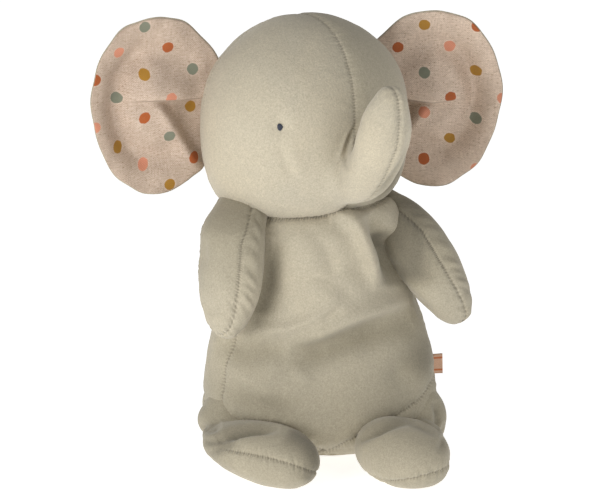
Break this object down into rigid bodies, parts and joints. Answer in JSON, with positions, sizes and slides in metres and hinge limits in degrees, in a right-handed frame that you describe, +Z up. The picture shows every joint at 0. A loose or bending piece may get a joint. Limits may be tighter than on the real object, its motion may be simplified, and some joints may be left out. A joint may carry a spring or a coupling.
{
  "type": "stuffed elephant",
  "caption": "Sitting stuffed elephant in sage velour with big dotted linen-lined ears, a curled trunk and stubby limbs.",
  "frame": {"origin": "middle of the flat face that the toy sits on", "axes": "+Z up, the body faces -Y, the elephant's right hand is on the -X side"},
  "size_m": [0.3169, 0.2156, 0.341],
  "materials": {
    "velour": "short-pile cotton velour, soft matt sheen",
    "dotted_linen": "plain-woven natural linen printed with small dots in four colours",
    "fibre": "loose polyester fibre",
    "bag_cotton": "plain cotton bag of pellets",
    "eye_thread": "satin-stitched embroidery thread",
    "label_tape": "woven tape, plain"
  },
  "bodies": {
    "torso": {"body_front_panel": "velour", "body_back_right_panel": "velour", "body_back_left_panel": "velour", "seat_panel": "velour", "pellet_bag": "bag_cotton", "body_filling": "fibre"},
    "neck": {"neck_seam_ring": "velour"},
    "head": {"head_right_panel": "velour", "head_left_panel": "velour", "head_back_panel": "velour", "head_filling": "fibre", "eye_right": "eye_thread", "eye_left": "eye_thread"},
    "trunk": {"trunk_right_panel": "velour", "trunk_left_panel": "velour", "trunk_filling": "fibre"},
    "label": {"side_label": "label_tape"},
    "ear_right": {"ear_right_lining": "dotted_linen", "ear_right_wadding": "fibre", "ear_right_back": "velour"},
    "arm_right": {"arm_right_outer_panel": "velour", "arm_right_inner_panel": "velour", "arm_right_filling": "fibre"},
    "leg_right": {"leg_right_outer_panel": "velour", "leg_right_inner_panel": "velour", "leg_right_sole_panel": "velour", "leg_right_filling": "fibre"},
    "ear_left": {"ear_left_lining": "dotted_linen", "ear_left_wadding": "fibre", "ear_left_back": "velour"},
    "arm_left": {"arm_left_outer_panel": "velour", "arm_left_inner_panel": "velour", "arm_left_filling": "fibre"},
    "leg_left": {"leg_left_outer_panel": "velour", "leg_left_inner_panel": "velour", "leg_left_sole_panel": "velour", "leg_left_filling": "fibre"}
  },
  "joints": [
    {"name": "neck_turn", "type": "hinge", "parent": "torso", "child": "neck", "pos_m": [-0.002, 0.006, 0.187], "axis": [0, 0, 1], "range_deg": [-30, 30]},
    {"name": "neck_nod", "type": "hinge", "parent": "neck", "child": "head", "pos_m": [-0.002, 0.006, 0.1885], "axis": [0.9336, 0.3584, 0], "range_deg": [-5, 5]},
    {"name": "trunk_lift", "type": "hinge", "parent": "head", "child": "trunk", "pos_m": [0.02031, -0.06175, 0.203], "axis": [0.9336, 0.3584, 0], "range_deg": [-2, 35]},
    {"name": "ear_fold_right", "type": "hinge", "parent": "head", "child": "ear_right", "pos_m": [-0.09002, 0.01682, 0.271], "axis": [0, 0, 1], "range_deg": [-20, 25]},
    {"name": "ear_fold_left", "type": "hinge", "parent": "head", "child": "ear_left", "pos_m": [0.06719, 0.04922, 0.258], "axis": [0, 0, -1], "range_deg": [-20, 25]},
    {"name": "arm_spread_right", "type": "hinge", "parent": "torso", "child": "arm_right", "pos_m": [-0.066, -0.036, 0.204], "axis": [0, 1, 0], "range_deg": [0, 36]},
    {"name": "arm_spread_left", "type": "hinge", "parent": "torso", "child": "arm_left", "pos_m": [0.062, -0.014, 0.196], "axis": [0, -1, 0], "range_deg": [0, 30]},
    {"name": "leg_lift_right", "type": "hinge", "parent": "torso", "child": "leg_right", "pos_m": [-0.062, -0.026, 0.03], "axis": [-1, 0, 0], "range_deg": [0, 10]},
    {"name": "leg_lift_left", "type": "hinge", "parent": "torso", "child": "leg_left", "pos_m": [0.056, -0.03, 0.03], "axis": [-1, 0, 0], "range_deg": [0, 10]},
    {"name": "label_flip", "type": "hinge", "parent": "torso", "child": "label", "pos_m": [0.0894, 0.002, 0.066], "axis": [0, 0, 1], "range_deg": [-45, 45]}
  ]
}
